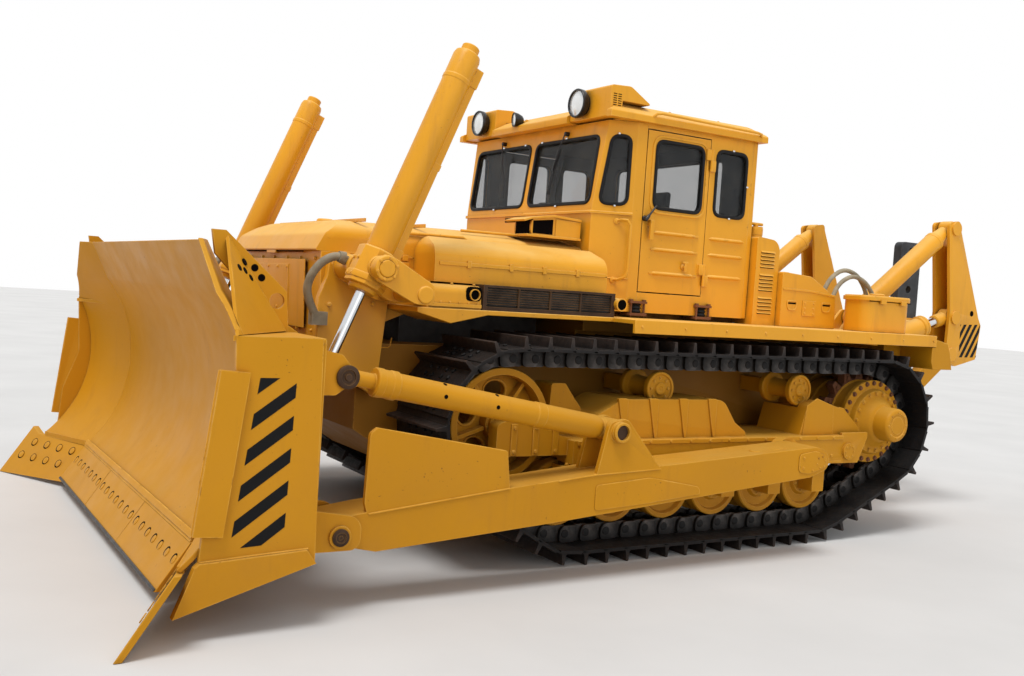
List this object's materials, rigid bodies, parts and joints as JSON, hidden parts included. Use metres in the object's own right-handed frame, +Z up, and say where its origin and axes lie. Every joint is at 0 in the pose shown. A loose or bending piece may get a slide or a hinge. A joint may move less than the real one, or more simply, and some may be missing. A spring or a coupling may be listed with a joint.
{
  "type": "bulldozer",
  "caption": "Crawler bulldozer with a large semi-universal blade, a closed cab and a parallelogram ripper at the rear.",
  "frame": {"origin": "on the floor under the middle of the machine's whole length and width", "axes": "+X forward towards the blade, +Y to the machine's left, +Z up"},
  "size_m": [8.095, 4.63, 3.199],
  "materials": {
    "yellow": "semi-gloss enamel, dusty and scuffed at edges",
    "hull_yellow": "semi-gloss enamel under dust and oil",
    "track_steel": "worn dark steel with rust and dried mud",
    "iron": "rough casting",
    "mat": "ribbed floor mat",
    "glass": "clear",
    "lamp": "black housing round a clear lens",
    "seat_cloth": "dark cloth",
    "dash": "dull plastic",
    "chrome": "polished",
    "hose": "dusty grey hose",
    "dark_steel": "dull dark paint"
  },
  "bodies": {
    "root": {"hull": "hull_yellow", "engine": "iron", "radiator_case": "yellow", "hood": "yellow", "side_fairings": "yellow", "side_grilles": "yellow", "air_boxes": "yellow", "fenders": "yellow", "cab_floor": "mat", "cab_front": "yellow", "cab_rear": "yellow", "cab_sides": "yellow", "cab_glass": "glass", "cab_roof": "yellow", "lamp_boxes": "yellow", "headlamps": "lamp", "seat": "seat_cloth", "console": "dash", "louvre_boxes": "yellow", "deck_boxes": "yellow", "tanks": "yellow", "deck_hoses": "hose", "lift_hoses": "hose", "tail_arms": "yellow", "track_frames": "yellow", "tracks": "track_steel", "sprockets": "yellow", "idlers": "yellow", "carrier_rollers": "yellow", "road_wheels": "yellow", "lift_brackets": "yellow", "ripper_mount": "yellow", "ripper_towers": "yellow"},
    "door_left": {"door_left": "yellow", "door_glass_left": "glass"},
    "door_right": {"door_right": "yellow", "door_glass_right": "glass"},
    "blade": {"blade": "yellow", "blade_wings": "yellow", "blade_ends": "yellow", "blade_frame": "yellow", "cutting_edge": "yellow", "end_bits": "yellow", "push_arms": "yellow", "tilt_braces": "yellow"},
    "lift_barrels": {"lift_barrels": "yellow"},
    "lift_rods": {"lift_rods": "chrome"},
    "ripper_frame": {"ripper_frame": "yellow"},
    "ripper_carrier": {"ripper_carrier": "yellow", "ripper_shank": "dark_steel"},
    "ripper_tilt": {"ripper_tilt_cylinders": "yellow"},
    "ripper_barrels": {"ripper_lift_barrels": "yellow"},
    "ripper_rods": {"ripper_lift_rods": "chrome"}
  },
  "joints": [
    {"name": "door_left_hinge", "type": "hinge", "parent": "root", "child": "door_left", "pos_m": [-0.2575, 1.051, 2.35], "axis": [0, 0, 1], "range_deg": [0, 100]},
    {"name": "door_right_hinge", "type": "hinge", "parent": "root", "child": "door_right", "pos_m": [-0.2575, -1.051, 2.35], "axis": [0, 0, -1], "range_deg": [0, 100]},
    {"name": "blade_lift", "type": "hinge", "parent": "root", "child": "blade", "pos_m": [-0.6555, 0, 0.685], "axis": [0, -1, 0], "range_deg": [-6, 12]},
    {"name": "lift_barrel_swing", "type": "hinge", "parent": "root", "child": "lift_barrels", "pos_m": [2.5085, 0, 1.8], "axis": [0, -1, 0], "range_deg": [-9.56, 18.62]},
    {"name": "lift_rod_slide", "type": "slide", "parent": "lift_barrels", "child": "lift_rods", "axis": [0.38, 0, -0.925], "range_m": [-0.7074, 0.3587]},
    {"name": "ripper_lower", "type": "hinge", "parent": "root", "child": "ripper_frame", "pos_m": [-2.2725, 0, 0.555], "axis": [0, -1, 0], "range_deg": [0, 40]},
    {"name": "ripper_level", "type": "hinge", "parent": "ripper_frame", "child": "ripper_carrier", "pos_m": [-3.4425, 0, 1.415], "axis": [0, -1, 0], "range_deg": [-40.5, 0.5]},
    {"name": "ripper_tilt_swing", "type": "hinge", "parent": "root", "child": "ripper_tilt", "pos_m": [-2.1925, 0, 1.69], "axis": [0, -1, 0], "range_deg": [-0.5, 40.5]},
    {"name": "ripper_barrel_swing", "type": "hinge", "parent": "root", "child": "ripper_barrels", "pos_m": [-2.3925, 0, 1.44], "axis": [0, -1, 0], "range_deg": [-0.5, 43.17]},
    {"name": "ripper_rod_slide", "type": "slide", "parent": "ripper_barrels", "child": "ripper_rods", "axis": [-0.9598, 0, 0.2807], "range_m": [-0.01, 0.3808]}
  ],
  "couplings": [
    {"joint": "lift_barrel_swing", "follows": "blade_lift", "ratio": 1.51},
    {"joint": "lift_rod_slide", "follows": "blade_lift", "m_per_rad": -3.33},
    {"joint": "ripper_level", "follows": "ripper_lower", "ratio": -1},
    {"joint": "ripper_tilt_swing", "follows": "ripper_lower", "ratio": 1},
    {"joint": "ripper_barrel_swing", "follows": "ripper_lower", "ratio": 1.0667},
    {"joint": "ripper_rod_slide", "follows": "ripper_lower", "m_per_rad": 0.5312}
  ]
}
